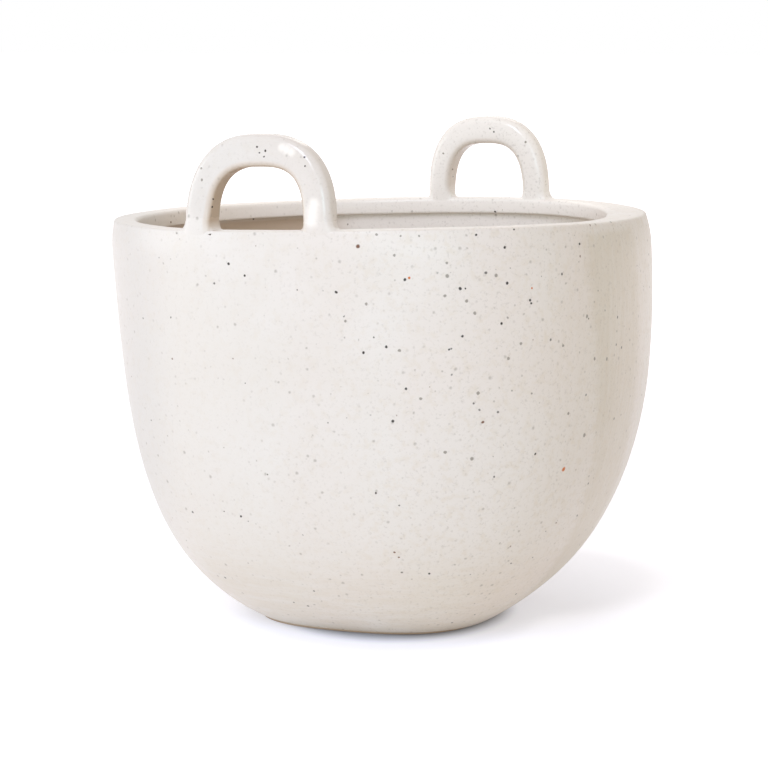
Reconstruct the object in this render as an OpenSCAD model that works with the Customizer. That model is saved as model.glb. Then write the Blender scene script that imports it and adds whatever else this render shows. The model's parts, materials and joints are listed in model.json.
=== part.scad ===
// Hand-shaped stoneware flower pot: a deep bowl with a rounded lip, a low foot and two
// loop handles that stand on the lip, one in front and one behind.
// Millimetres, +Z up, origin on the table under the middle of the rim.

/* [Pot] */
// Mean width at the widest level
pot_w = 199.5; // [150:0.5:260]
// Mean height of the rim above the table
rim_h = 149.6; // [120:0.2:200]
// Height over which the wall draws in again below the rim
neck_h = 11; // [4:0.5:30]
// How far the wall draws in over that height
draw_in = 1.6; // [0:0.1:4]
// Angle at which the underside leaves the foot, from level
base_slope = 28.5; // [15:0.5:45]
// How long the underside holds that angle
base_run = 50; // [25:0.5:70]
// How long the side holds upright below the widest level
side_run = 62.5; // [30:0.5:90]

/* [Foot] */
// Width of the foot on the table
foot_w = 91.5; // [60:0.5:120]
// How far the body stands out over the foot
foot_inset = 2; // [0.5:0.1:5]
// Mean height of the foot
foot_h = 1.1; // [0.9:0.1:4]
// How much higher the foot is on its high side
foot_skew = 0.6; // [0:0.1:0.6]
// Direction of the high side
foot_skew_dir = 237; // [0:1:360]
// Width of the standing ring
foot_ring_w = 9; // [5:0.5:20]
// Depth of the hollow under the floor
foot_hollow = 1.6; // [0.5:0.1:3]
// Size of the chamfer round the foot's lower edge
foot_edge = 0.6; // [0.1:0.1:0.6]

/* [Wall and lip] */
// Thickness of the wall
wall_t = 6.5; // [4:0.1:8]
// Height of the floor inside above the table
floor_h = 7.6; // [6:0.1:14]
// Width of the sweep where the floor meets the wall
floor_sweep = 12; // [4:0.5:25]
// Width of the lip
lip_w = 8.5; // [7:0.1:12]
// Height of the lip's inner face
lip_h = 6.2; // [4.5:0.1:10]
// Radius of the lip's outer edge
lip_round_out = 1.5; // [0.8:0.1:3]
// Radius of the lip's inner edge
lip_round_in = 1.6; // [0.8:0.1:3]
// Size of the chamfer on the lip's lower inner edge
lip_edge = 0.5; // [0.1:0.1:1]
// Height of the crease cut up behind that edge
crease_h = 0.5; // [0.1:0.1:1.2]

/* [Shaping by hand] */
// How far the four soft corners stand out beyond the mean outline
corner_out = 3.4; // [0:0.1:7]
// Share by which the corners are stronger at the foot
corner_at_foot = 0.3; // [0:0.05:1]
// Direction of the first corner
corner_dir = 52.5; // [30:0.5:60]
// How far the body bows sideways at half height
bow = 3; // [0:0.1:6]
// Direction of the bow
bow_dir = 27.5; // [0:0.5:360]
// Rise of the rim on its high side
rim_tilt = 1.15; // [0:0.05:3]
// Direction of the rim's high side
rim_tilt_dir = 1; // [0:1:360]
// Height of the rim's two-fold wave
rim_wave = 0.4; // [0:0.05:1.5]
// Direction of that wave's crest
rim_wave_dir = 110; // [0:1:180]
// Height of the rim's three-fold wave
rim_lobe = 0.63; // [0:0.05:1.5]
// Direction of that wave's crest
rim_lobe_dir = 80; // [0:1:120]

/* [Handles] */
// Distance between the front handle's legs, middle to middle
front_span = 44.7; // [34:0.2:60]
// Height of the front handle's bar above the rim, at its middle line
front_rise = 27; // [18:0.2:45]
// Width of the front handle's legs, seen from the front
front_leg_w = 10.4; // [7:0.1:12]
// Thickness of the front handle's bar at its crown
front_crown_t = 11.3; // [7:0.1:13]
// How far the front handle's crown leans in over the pot
front_lean = 1.4; // [0:0.1:4]
// Distance between the back handle's legs, middle to middle
back_span = 40.6; // [34:0.2:60]
// Height of the back handle's bar above the rim, at its middle line
back_rise = 27.4; // [18:0.2:45]
// Width of the back handle's legs, seen from the front
back_leg_w = 9.3; // [7:0.1:12]
// Thickness of the back handle's bar at its crown
back_crown_t = 10.8; // [7:0.1:13]
// How far the back handle's crown leans in over the pot
back_lean = 1; // [0:0.1:4]
// How far round the pot the back handle stands from opposite the front one
back_turn = -0.6; // [-8:0.1:8]
// Depth of both bars, from the pot's outside to its inside
bar_d = 8.8; // [6.5:0.1:11]
// Radius of the bars' edges on the outside of the arch
bar_round_out = 2.7; // [1:0.1:3.2]
// Radius of the bars' edges round the finger hole
bar_round_in = 1.6; // [1:0.1:3.2]
// Squareness of the arches: 2 is an ellipse, and more is squarer
arch_power = 2.65; // [2:0.05:3.5]
// How far the legs flare out along the lip where they are luted to it
flare_w = 1.2; // [0.3:0.1:2.5]
// Height of that flare
flare_h = 2.8; // [1:0.1:5]
// Radius of the corners of a foot on the lip
foot_round = 1.9; // [0.5:0.1:2.5]
// Height over which a leg turns from the line of the lip into the plane of its arch
turn_h = 9; // [4:0.5:15]

/* [Hidden] */

glaze = [0.91, 0.89, 0.85];

// Counts of the steps along each stretch
body_steps = 14;
neck_steps = 3;
inner_steps = 9;
sweep_steps = 3;
out_round_steps = 4;
in_round_steps = 3;
lip_flat_steps = 3;
foot_steps = 6;
between_steps = 5;
side_steps = 36;
flare_steps = 4;
arch_steps = 18;

// The body's outer curve, from the foot up to the widest level, as a cubic
pot_r = pot_w / 2;
foot_r = foot_w / 2;
belly_h = rim_h - neck_h;
curve_start = [foot_r + foot_inset, foot_h];
curve_end = [pot_r, belly_h];
curve_low = curve_start + base_run * [cos(base_slope), sin(base_slope)];
curve_high = curve_end - [0, side_run];

function curve_point(t) =
    pow(1 - t, 3) * curve_start + 3 * pow(1 - t, 2) * t * curve_low
    + 3 * (1 - t) * t * t * curve_high + pow(t, 3) * curve_end;
function curve_way(t) =
    3 * pow(1 - t, 2) * (curve_low - curve_start) + 6 * (1 - t) * t * (curve_high - curve_low)
    + 3 * t * t * (curve_end - curve_high);
function inner_point(t) =
    let (way = curve_way(t) / norm(curve_way(t)))
    curve_point(t) + wall_t * [-way[1], way[0]];
function neck_r(z) = pot_r - draw_in * pow(max(0, z - belly_h) / neck_h, 2);

// Heights and radii that the lip, the wall inside and the floor share
lip_out_r = neck_r(rim_h - lip_round_out);
lip_in_r = lip_out_r - lip_w;
lip_mid_r = (lip_out_r + lip_in_r) / 2;
ledge_h = rim_h - lip_h;
ledge_r = max(neck_r(ledge_h) - wall_t, lip_in_r + lip_edge);
inner_curve = [
    for (k = [0 : body_steps]) let (p = inner_point(k / body_steps)) [p[1], p[0]]
];
inner_top = min(belly_h, ledge_h - lip_edge);
sweep_h = floor_h + floor_sweep * tan(base_slope) / 2;
sweep_r = lookup(sweep_h, inner_curve);
floor_r = lookup(floor_h, inner_curve);

// Stretches of the section, each a list of [radius, height], from the table up the
// outside, over the lip and down the inside
foot_stretch = [
    [foot_r - foot_ring_w - foot_hollow, foot_hollow],
    [foot_r - foot_ring_w, 0],
    [foot_r - foot_edge, 0],
    [foot_r, foot_edge],
    [foot_r, foot_h]
];
body_stretch = [for (k = [0 : body_steps]) curve_point(k / body_steps)];
neck_stretch = [
    for (k = [1 : neck_steps - 1])
        let (z = belly_h + (neck_h - lip_round_out) * k / neck_steps)
        [neck_r(z), z]
];
// The lip from its inner face over the top to its outer face. The handles' feet sit on
// this same list of points.
lip_stretch = concat(
    [for (k = [0 : in_round_steps])
        let (a = 180 - 90 * k / in_round_steps)
        [lip_in_r + lip_round_in * (1 + cos(a)), rim_h - lip_round_in * (1 - sin(a))]],
    [for (k = [1 : lip_flat_steps - 1])
        let (inside = lip_in_r + lip_round_in, outside = lip_out_r - lip_round_out)
        [inside + (outside - inside) * k / lip_flat_steps, rim_h]],
    [for (k = [0 : out_round_steps])
        let (a = 90 - 90 * k / out_round_steps)
        [lip_out_r - lip_round_out * (1 - cos(a)), rim_h - lip_round_out * (1 - sin(a))]]
);
lip_steps = len(lip_stretch) - 1;
ledge_stretch = [
    [lip_in_r, ledge_h + lip_edge],
    [lip_in_r + lip_edge, ledge_h],
    [ledge_r, ledge_h + crease_h]
];
inner_stretch = [
    for (k = [0 : inner_steps])
        let (z = inner_top + (sweep_h - inner_top) * (1 - pow(1 - k / inner_steps, 2)))
        [lookup(z, inner_curve), z]
];
floor_stretch = [
    for (k = [1 : sweep_steps])
        let (t = k / sweep_steps)
        pow(1 - t, 2) * [sweep_r, sweep_h] + 2 * t * (1 - t) * [floor_r, floor_h]
        + t * t * [floor_r - floor_sweep, floor_h]
];
function reversed(list) = [for (k = [len(list) - 1 : -1 : 0]) list[k]];
section = concat(
    foot_stretch, body_stretch, neck_stretch, reversed(lip_stretch),
    ledge_stretch, inner_stretch, floor_stretch
);

// Where a point of the section lands in the hand-shaped pot: its plan is a soft square,
// its middle bows sideways, its rim rises and falls and its foot is a little skew
function rim_z(a) =
    rim_h + rim_tilt * cos(a - rim_tilt_dir) + rim_wave * cos(2 * (a - rim_wave_dir))
    + rim_lobe * cos(3 * (a - rim_lobe_dir));
function plan(a, v) =
    1 + corner_out / pot_r * (1 + corner_at_foot * (1 - v)) * cos(4 * (a - corner_dir));
function foot_lift(z) = min(z / foot_h, max(0, 1 - (z - foot_h) / (rim_h / 4)));
function placed(r, z, a) =
    let (
        v = z / rim_h,
        shift = 4 * v * (1 - v) * bow,
        reach = r * plan(a, v),
        skew = foot_skew * cos(a - foot_skew_dir) * foot_lift(z) * min(1, r / foot_r)
    )
    [
        shift * cos(bow_dir) + reach * cos(a),
        shift * sin(bow_dir) + reach * sin(a),
        z * rim_z(a) / rim_h + skew
    ];

// One handle is [angle round the pot, span, rise, leg width, crown thickness, lean]
front = [270, front_span, front_rise, front_leg_w, front_crown_t, front_lean];
back = [90 + back_turn, back_span, back_rise, back_leg_w, back_crown_t, back_lean];
function leg_turn(h) = asin(h[1] / 2 / (lip_mid_r * plan(h[0], 1)));
function foot_turn(h) = asin((h[3] / 2 + flare_w) / (lip_mid_r * plan(h[0], 1)));

// Directions round the pot at which the section stands. Those across a handle's foot
// are shared by the lip and by that foot, so the two surfaces meet face to face.
function steps(from, to, count) = [for (k = [0 : count - 1]) from + (to - from) * k / count];
function handle_stations(h) =
    let (leg = leg_turn(h), foot = foot_turn(h))
    concat(
        steps(h[0] - leg - foot, h[0] - leg + foot, foot_steps),
        steps(h[0] - leg + foot, h[0] + leg - foot, between_steps),
        steps(h[0] + leg - foot, h[0] + leg + foot, foot_steps)
    );
function side_stations(h, next, turn) =
    steps(h[0] + leg_turn(h) + foot_turn(h),
          next[0] + turn - leg_turn(next) - foot_turn(next), side_steps);
stations = concat(
    handle_stations(back), side_stations(back, front, 0),
    handle_stations(front), side_stations(front, back, 360)
);
station_count = len(stations);
ring_count = len(section);

module pot_body() {
    under_middle = ring_count * station_count;
    floor_middle = under_middle + 1;
    function at(ring, s) = ring * station_count + s % station_count;
    points = concat(
        [for (p = section) for (a = stations) placed(p[0], p[1], a)],
        [placed(0, foot_hollow, 0), placed(0, floor_h, 0)]
    );
    walls = [
        for (ring = [0 : ring_count - 2]) for (s = [0 : station_count - 1])
            each [
                [at(ring, s), at(ring + 1, s), at(ring + 1, s + 1)],
                [at(ring, s), at(ring + 1, s + 1), at(ring, s + 1)]
            ]
    ];
    underside = [for (s = [0 : station_count - 1]) [under_middle, at(0, s), at(0, s + 1)]];
    floor_top = [
        for (s = [0 : station_count - 1])
            [floor_middle, at(ring_count - 1, s + 1), at(ring_count - 1, s)]
    ];
    color(glaze)
        polyhedron(points, concat(walls, underside, floor_top), convexity = 6);
}

// A foot's cells run foot_steps along the lip and lip_steps across it. Its outline is a
// loop round those cells, and every ring of the bar has one point for each in the loop.
loop_cells = concat(
    [for (i = [0 : foot_steps - 1]) [i, 0]],
    [for (j = [0 : lip_steps - 1]) [foot_steps, j]],
    [for (i = [foot_steps : -1 : 1]) [i, lip_steps]],
    [for (j = [lip_steps : -1 : 1]) [0, j]]
);
loop_count = len(loop_cells);
function loop_place(i, j) =
    j == 0 && i < foot_steps ? i
    : i == foot_steps && j < lip_steps ? foot_steps + j
    : j == lip_steps && i > 0 ? 2 * foot_steps + lip_steps - i
    : i == 0 && j > 0 ? 2 * (foot_steps + lip_steps) - j
    : -1;

// How far over the lip each point of its section lies, and from there how much of the
// outermost cell the rounded corners of a foot leave out at that point
function lip_way(j) = j == 0 ? 0 : lip_way(j - 1) + norm(lip_stretch[j] - lip_stretch[j - 1]);
function cell_w(h) = (h[3] + 2 * flare_w) / foot_steps;
function foot_inset_at(h, j) =
    let (
        from_end = min(lip_way(j), lip_way(lip_steps) - lip_way(j)),
        corner = min(foot_round, 0.95 * cell_w(h)),
        rest = max(0, corner - from_end)
    )
    (corner - sqrt(corner * corner - rest * rest)) / cell_w(h);

// A point of the lip under a leg, at a share of the way along the foot. Side -1 is the
// leg that comes first going round the pot, and side 1 the other.
function lip_point(h, side, share, j) =
    let (
        middle = h[0] + side * leg_turn(h),
        reach = -side * foot_turn(h),
        p = lip_stretch[j]
    )
    placed(p[0], p[1], middle + reach * (2 * share - 1));
// The same for one cell of the foot, between the stations that the lip is drawn from
function foot_point(h, side, i, j) =
    let (
        inset = foot_inset_at(h, j),
        first = lip_point(h, side, 0, j),
        second = lip_point(h, side, 1 / foot_steps, j),
        last = lip_point(h, side, 1, j),
        last_but_one = lip_point(h, side, 1 - 1 / foot_steps, j)
    )
    i == 0 ? first + (second - first) * inset
    : i == foot_steps ? last + (last_but_one - last) * inset
    : lip_point(h, side, i / foot_steps, j);
// Where the leg would meet the lip at that cell without its flare
function leg_corner(h, side, i, j) =
    let (
        inset = foot_inset_at(h, j),
        from_middle = max(inset, min(foot_steps - inset, i)) / foot_steps - 0.5,
        leg_share = h[3] / (h[3] + 2 * flare_w) / 2
    )
    lip_point(h, side, 0.5 + max(-leg_share, min(leg_share, from_middle)), j);

// The outline point of a rounded bar that belongs to one cell of the loop. The side toward
// the finger hole, where x is above 0, has the sharper edges.
function spread(x) = sign(x) * (1 - pow(1 - abs(x), 1.6));
function rounded(x, y, half_x, half_y) =
    let (
        edge_r = x > 0 ? bar_round_in : bar_round_out,
        core = [
            max(edge_r - half_x, min(half_x - edge_r, x * half_x)),
            max(edge_r - half_y, min(half_y - edge_r, y * half_y))
        ],
        out = [x * half_x, y * half_y] - core
    )
    norm(out) == 0 ? core : core + edge_r * out / norm(out);

// The middle line of a handle: an arch between the middles of its two feet
function leg_base(h, side) = placed(lip_mid_r, rim_h, h[0] + side * leg_turn(h));
function arch_power_of(x) = sign(x) * pow(abs(x), 2 / arch_power);
function arch_point(h, s) =
    let (
        along = (1 - arch_power_of(cos(s))) / 2,
        up = h[2] * arch_power_of(sin(s)),
        foot = leg_base(h, -1) * (1 - along) + leg_base(h, 1) * along,
        lean = h[5] * up / h[2]
    )
    foot + [-lean * cos(h[0]), -lean * sin(h[0]), up];
function arch_turn_at(h, z) = asin(pow(z / h[2], arch_power / 2));

// The ring of the bar round its middle line at one turn of the arch
function bar_ring(h, s) =
    let (
        z = h[2] * arch_power_of(sin(s)),
        step = arch_point(h, min(180, s + 0.5)) - arch_point(h, max(0, s - 0.5)),
        way = step / norm(step),
        side = s < 90 ? -1 : 1,
        face_dir = h[0] + side * leg_turn(h) * pow(max(0, 1 - z / turn_h), 2),
        face = [cos(face_dir), sin(face_dir), 0],
        inward = cross(way, face) / norm(cross(way, face)),
        half_w = (h[3] + (h[4] - h[3]) * pow(sin(s), 2)) / 2
    )
    [
        for (cell = loop_cells)
            let (
                x = spread(2 * cell[0] / foot_steps - 1),
                y = 2 * cell[1] / lip_steps - 1,
                p = rounded(x, y, half_w, bar_d / 2)
            )
            arch_point(h, s) + p[0] * inward + p[1] * face
    ];

// A ring of the flare between a foot and the first or last ring of the bar: it leaves
// the lip along its surface and ends along the leg
function flare_ring(h, side, bar, t) = [
    for (k = [0 : loop_count - 1])
        let (cell = loop_cells[k])
        pow(1 - t, 2) * foot_point(h, side, cell[0], cell[1])
        + 2 * t * (1 - t) * leg_corner(h, side, cell[0], cell[1]) + t * t * bar[k]
];

module handle(h) {
    low = arch_turn_at(h, flare_h);
    bar = [for (k = [0 : arch_steps]) bar_ring(h, low + (180 - 2 * low) * k / arch_steps)];
    flare_shares = [for (k = [1 : flare_steps - 1]) k / flare_steps];
    rings = concat(
        [for (t = flare_shares) flare_ring(h, -1, bar[0], t)],
        bar,
        [for (t = reversed(flare_shares)) flare_ring(h, 1, bar[arch_steps], t)]
    );
    first_foot = [for (cell = loop_cells) foot_point(h, -1, cell[0], cell[1])];
    last_foot = [for (cell = loop_cells) foot_point(h, 1, cell[0], cell[1])];
    outline = concat([first_foot], rings, [last_foot]);
    span_count = len(outline) - 1;
    cell_start = len(outline) * loop_count;
    cells_inside = (foot_steps - 1) * (lip_steps - 1);
    // Number of the point at one corner of a foot's cell
    function corner(leg, i, j) =
        let (place = loop_place(i, j))
        place >= 0 ? leg * span_count * loop_count + place
        : cell_start + leg * cells_inside + (i - 1) * (lip_steps - 1) + j - 1;
    points = concat(
        [for (ring = outline) each ring],
        [for (side = [-1, 1]) for (i = [1 : foot_steps - 1]) for (j = [1 : lip_steps - 1])
            foot_point(h, side, i, j)]
    );
    skin = [
        for (ring = [0 : span_count - 1]) for (k = [0 : loop_count - 1])
            let (
                here = ring * loop_count + k,
                beside = ring * loop_count + (k + 1) % loop_count
            )
            each [
                [beside, beside + loop_count, here + loop_count],
                [beside, here + loop_count, here]
            ]
    ];
    first_cells = [
        for (i = [0 : foot_steps - 1]) for (j = [0 : lip_steps - 1])
            each [
                [corner(0, i, j), corner(0, i, j + 1), corner(0, i + 1, j)],
                [corner(0, i, j + 1), corner(0, i + 1, j + 1), corner(0, i + 1, j)]
            ]
    ];
    last_cells = [
        for (i = [0 : foot_steps - 1]) for (j = [0 : lip_steps - 1])
            each [
                [corner(1, i, j), corner(1, i + 1, j), corner(1, i + 1, j + 1)],
                [corner(1, i, j), corner(1, i + 1, j + 1), corner(1, i, j + 1)]
            ]
    ];
    color(glaze)
        polyhedron(points, concat(skin, first_cells, last_cells), convexity = 6);
}

module front_handle() {
    handle(front);
}

module back_handle() {
    handle(back);
}

pot_body();
front_handle();
back_handle();
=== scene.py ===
import json
import math

import bmesh
import bpy
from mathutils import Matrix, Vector, noise

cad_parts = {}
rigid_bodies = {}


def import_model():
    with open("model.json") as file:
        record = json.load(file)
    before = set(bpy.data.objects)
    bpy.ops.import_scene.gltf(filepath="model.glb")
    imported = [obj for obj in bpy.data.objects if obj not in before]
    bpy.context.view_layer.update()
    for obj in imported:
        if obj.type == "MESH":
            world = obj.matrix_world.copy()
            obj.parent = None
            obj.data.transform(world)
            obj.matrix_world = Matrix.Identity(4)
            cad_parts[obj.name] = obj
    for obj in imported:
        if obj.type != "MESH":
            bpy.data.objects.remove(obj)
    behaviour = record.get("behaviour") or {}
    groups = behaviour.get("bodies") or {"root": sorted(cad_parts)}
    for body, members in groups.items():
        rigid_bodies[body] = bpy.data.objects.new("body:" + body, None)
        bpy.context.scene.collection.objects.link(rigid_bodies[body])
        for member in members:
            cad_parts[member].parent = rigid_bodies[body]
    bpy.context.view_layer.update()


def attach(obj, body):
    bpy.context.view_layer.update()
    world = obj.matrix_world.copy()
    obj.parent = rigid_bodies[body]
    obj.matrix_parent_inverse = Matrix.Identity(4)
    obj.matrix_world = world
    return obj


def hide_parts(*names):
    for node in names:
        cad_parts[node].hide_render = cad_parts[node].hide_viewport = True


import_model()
scene = bpy.context.scene
mm = 0.001


def cosd(angle):
    return math.cos(math.radians(angle))


def sind(angle):
    return math.sin(math.radians(angle))


def mix(a, b, share):
    return a + (b - a) * share


pot = {
    "radius": 99.75,
    "rimHeight": 149.6,
    "neckHeight": 11,
    "drawIn": 1.6,
    "baseSlope": 28.5,
    "baseRun": 50,
    "sideRun": 62.5,
    "footRadius": 45.75,
    "footInset": 2,
    "footHeight": 1.1,
    "footEdge": 0.6,
    "footSkew": 0.6,
    "footSkewDir": 237,
    "footRing": 9,
    "footHollow": 1.6,
    "wall": 6.5,
    "floorHeight": 7.6,
    "floorSweep": 12,
    "lipWidth": 8.5,
    "lipHeight": 6.2,
    "lipRoundOut": 1.1,
    "lipRoundIn": 1.6,
    "lipEdge": 0.9,  # the lower edge of its inner face
    "lipSwell": 0.12,  # its top isn't quite flat
    "crease": 0.5,
    "corner": 3.4,
    "cornerAtFoot": 0.3,
    "cornerDir": 52.5,
    "bow": 3,
    "bowDir": 27.5,
    "tilt": 1.15,
    "tiltDir": 1,
    "wave": 0.4,
    "waveDir": 110,
    "lobe": 0.63,
    "lobeDir": 80,
    "thickLip": 6.5,  # the lip is thicker on the right of the photo
    "thickLipDir": 27.5,
    "thickLipSpan": 34,
    "thickLipDepth": 40,  # the wall under it thins out again over this
    "unevenness": 0.16,  # how far the surface wanders by hand
    "evenFoot": 3,  # but not below this height
    "turns": 216,  # faces round the pot
    "ringsOutside": 46,
    "ringsInside": 43,
    "closerAtFoot": 1.25,  # at 1 the rings stand evenly
    "closerAtMouth": 1.6,
}

frontHandle = {
    "piece": "frontLoop", "node": "front_handle", "dir": 270, "span": 44.7, "rise": 27,
    "legWidth": 10.4, "crown": 11.3, "lean": 1.4, "seed": 3.0,
}
backHandle = {
    "piece": "backLoop", "node": "back_handle", "dir": 89.4, "span": 40.6, "rise": 27.4,
    "legWidth": 9.3, "crown": 10.8, "lean": 1.0, "seed": 11.0,
}
bar = {
    "depth": 8.8,
    "outerEdge": 2.7,
    "innerEdge": 1.6,  # the edges round the finger hole are sharper
    "swell": 0.13,  # how far the flat faces fall away toward their edges
    "spread": 0.62,  # points stand closer at the edges
    "archPower": 2.65,  # 2 is an ellipse, more is squarer
    "turnHeight": 9,  # a leg turns from the lip's line into the arch's plane over this
    "fillet": 1.9,  # how far the smoothed clay spreads along the lip
    "filletHeight": 3.6,
    "wallBlend": 2.6,  # how far it runs down the outside
    "innerBlend": 1.0,  # and down the lip's inner face
    "footEdge": 0.55,  # how rounded its outline on the lip is
    "sectionPoints": 64,
    "archRings": 64,
    "filletRings": 12,
    "closerAtLip": 1.15,  # at 1 they stand evenly
    "sink": 0.04,  # the fillet starts this far under the lip's skin
}

bellyHeight = pot["rimHeight"] - pot["neckHeight"]
curveStart = Vector((pot["footRadius"] + pot["footInset"], pot["footHeight"]))
curveEnd = Vector((pot["radius"], bellyHeight))
curveLow = curveStart + pot["baseRun"] * Vector((cosd(pot["baseSlope"]), sind(pot["baseSlope"])))
curveHigh = curveEnd - Vector((0, pot["sideRun"]))


def curvePoint(t):
    u = 1 - t
    return u**3 * curveStart + 3 * u * u * t * curveLow + 3 * u * t * t * curveHigh + t**3 * curveEnd


def innerPoint(t):
    u = 1 - t
    way = u * u * (curveLow - curveStart) + 2 * u * t * (curveHigh - curveLow)
    way += t * t * (curveEnd - curveHigh)
    way.normalize()
    return curvePoint(t) + pot["wall"] * Vector((-way.y, way.x))


def neckRadius(z):
    return pot["radius"] - pot["drawIn"] * (max(0, z - bellyHeight) / pot["neckHeight"]) ** 2


lipOut = neckRadius(pot["rimHeight"] - pot["lipRoundOut"])
lipIn = lipOut - pot["lipWidth"]
lipMiddle = (lipOut + lipIn) / 2


def radiusInside(z):
    low, high = 0.0, 1.0
    for step in range(30):
        middle = (low + high) / 2
        low, high = (middle, high) if innerPoint(middle).y < z else (low, middle)
    return innerPoint(low).x


def arc(centre, radius, start, end, count):
    return [centre + radius * Vector((cosd(mix(start, end, k / count)), sind(mix(start, end, k / count))))
            for k in range(count + 1)]


def outsideUpToLip():
    foot = pot["footRadius"]
    ring = foot - pot["footRing"]
    edge = pot["footEdge"]
    hollow, height, rings = pot["footHollow"], pot["footHeight"], pot["ringsOutside"]
    line = [Vector((0, hollow)), Vector((ring * 0.5, hollow))]
    line += [Vector((ring - 2.4, hollow)), Vector((ring - 1.2, hollow * 0.8))]  # rounded down to the foot
    line += [Vector((ring - 0.4, 0.25)), Vector((ring + 0.3, 0))]
    line += [Vector((ring + 3, 0)), Vector((foot - edge - 1.5, 0))]
    line += arc(Vector((foot - edge, edge)), edge, -90, 0, 4)
    line += [Vector((foot + 0.1, height - 0.25)), Vector((foot + 0.8, height - 0.08))]  # and out to the wall
    line += [curvePoint((k / rings) ** pot["closerAtFoot"]) for k in range(rings + 1)]
    top = pot["rimHeight"] - pot["lipRoundOut"]
    for k in range(1, 6):
        z = mix(bellyHeight, top, k / 6)
        line.append(Vector((neckRadius(z), z)))
    return line


def lipLine(roundSteps=7, flatSteps=5):  # from the outside over the top to the inside
    outer, inner, rim = pot["lipRoundOut"], pot["lipRoundIn"], pot["rimHeight"]
    line = arc(Vector((lipOut - outer, rim - outer)), outer, 0, 90, roundSteps)
    for k in range(1, flatSteps):
        share = k / flatSteps
        swell = pot["lipSwell"] * math.sin(math.pi * share)
        line.append(Vector((mix(lipOut - outer, lipIn + inner, share), rim + swell)))
    return line + arc(Vector((lipIn + inner, rim - inner)), inner, 90, 180, roundSteps)


def insideDownToFloor():
    ledge = pot["rimHeight"] - pot["lipHeight"]
    wall = neckRadius(ledge) - pot["wall"]
    edge = pot["lipEdge"]
    line = [Vector((lipIn, ledge + edge + 2)), Vector((lipIn, ledge + edge))]
    line += arc(Vector((lipIn + edge, ledge + edge)), edge, 180, 270, 4)[1:]
    # the crease, a little groove in the corner under the lip
    line += [Vector((wall - 0.5, ledge + pot["crease"] * 0.9)), Vector((wall, ledge + pot["crease"] * 0.4))]
    line += [Vector((wall + 0.15, ledge - 0.5)), Vector((wall + 0.1, ledge - 1.6))]
    sweep = pot["floorHeight"] + pot["floorSweep"] * math.tan(math.radians(pot["baseSlope"])) / 2
    rings = pot["ringsInside"]
    for k in range(rings + 1):
        z = mix(bellyHeight, sweep, 1 - (1 - k / rings) ** pot["closerAtMouth"])
        line.append(Vector((radiusInside(z), z)))
    start = line[-1]
    floorRadius = radiusInside(pot["floorHeight"])
    middle = Vector((floorRadius, pot["floorHeight"]))
    end = Vector((floorRadius - pot["floorSweep"], pot["floorHeight"]))
    for k in range(1, 9):
        t = k / 8
        line.append((1 - t) ** 2 * start + 2 * t * (1 - t) * middle + t * t * end)
    return line + [Vector((end.x * share, pot["floorHeight"])) for share in (0.75, 0.5, 0.25, 0)]


def rimLevel(turn):
    level = pot["rimHeight"] + pot["tilt"] * cosd(turn - pot["tiltDir"])
    level += pot["wave"] * cosd(2 * (turn - pot["waveDir"]))
    return level + pot["lobe"] * cosd(3 * (turn - pot["lobeDir"]))


def placed(radius, z, turn):
    share = z / pot["rimHeight"]
    shift = 4 * share * (1 - share) * pot["bow"]
    strength = pot["corner"] / pot["radius"] * (1 + pot["cornerAtFoot"] * (1 - share))
    reach = radius * (1 + strength * cosd(4 * (turn - pot["cornerDir"])))
    lift = min(z / pot["footHeight"], max(0, 1 - (z - pot["footHeight"]) / (pot["rimHeight"] / 4)))
    skew = pot["footSkew"] * cosd(turn - pot["footSkewDir"]) * lift * min(1, radius / pot["footRadius"])
    return Vector((
        shift * cosd(pot["bowDir"]) + reach * cosd(turn),
        shift * sind(pot["bowDir"]) + reach * sind(turn),
        z * rimLevel(turn) / pot["rimHeight"] + skew,
    ))


hand = {
    "slowSize": 38,  # the unevenness that hands leave, in millimetres from one swell to the next
    "slowShare": 1.3,
    "quickSize": 15,
    "quickShare": 0.45,
    "comesIn": 12,  # over this height
    "loopDepth": 0.2,
    "loopStart": 1.5,  # above the lip
}


def wander(point, seed=0.0):  # about -1 to 1
    slow = noise.noise(point / hand["slowSize"] + Vector((seed, 4.1, 0)))
    quick = noise.noise(point / hand["quickSize"] + Vector((2.7, seed, 9.3)))
    return slow * hand["slowShare"] + quick * hand["quickShare"]


def finishMesh(bm, name):
    bmesh.ops.recalc_face_normals(bm, faces=bm.faces)
    for face in bm.faces:
        face.smooth = True
    mesh = bpy.data.meshes.new(name)
    bm.to_mesh(mesh)
    bm.free()
    piece = bpy.data.objects.new(name, mesh)
    scene.collection.objects.link(piece)
    return piece


def roughenByHand(bm, depth, low, seed):  # moves points along their normals, above a height
    bm.normal_update()
    shifts = []
    for vert in bm.verts:
        height = vert.co.z / mm
        grip = max(0.0, min(1.0, (height - low) / hand["comesIn"]))
        shifts.append(vert.normal * (wander(vert.co / mm, seed) * depth * grip * mm))
    for vert, shift in zip(bm.verts, shifts):
        vert.co += shift


def thickenLip(point, turn):  # moves the lip's inner side and the wall under it inwards
    away = (turn - pot["thickLipDir"] + 180) % 360 - 180
    ledge = pot["rimHeight"] - pot["lipHeight"]
    inner = max(0, min(1, (lipMiddle - point.x) / (lipMiddle - lipIn)))
    down = max(0, min(1, 1 - (ledge - point.y) / pot["thickLipDepth"])) ** 2
    return point.x - pot["thickLip"] * math.exp(-((away / pot["thickLipSpan"]) ** 2)) * inner * down


creasePoint = 6  # of the inside's points, where the crease is


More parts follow.
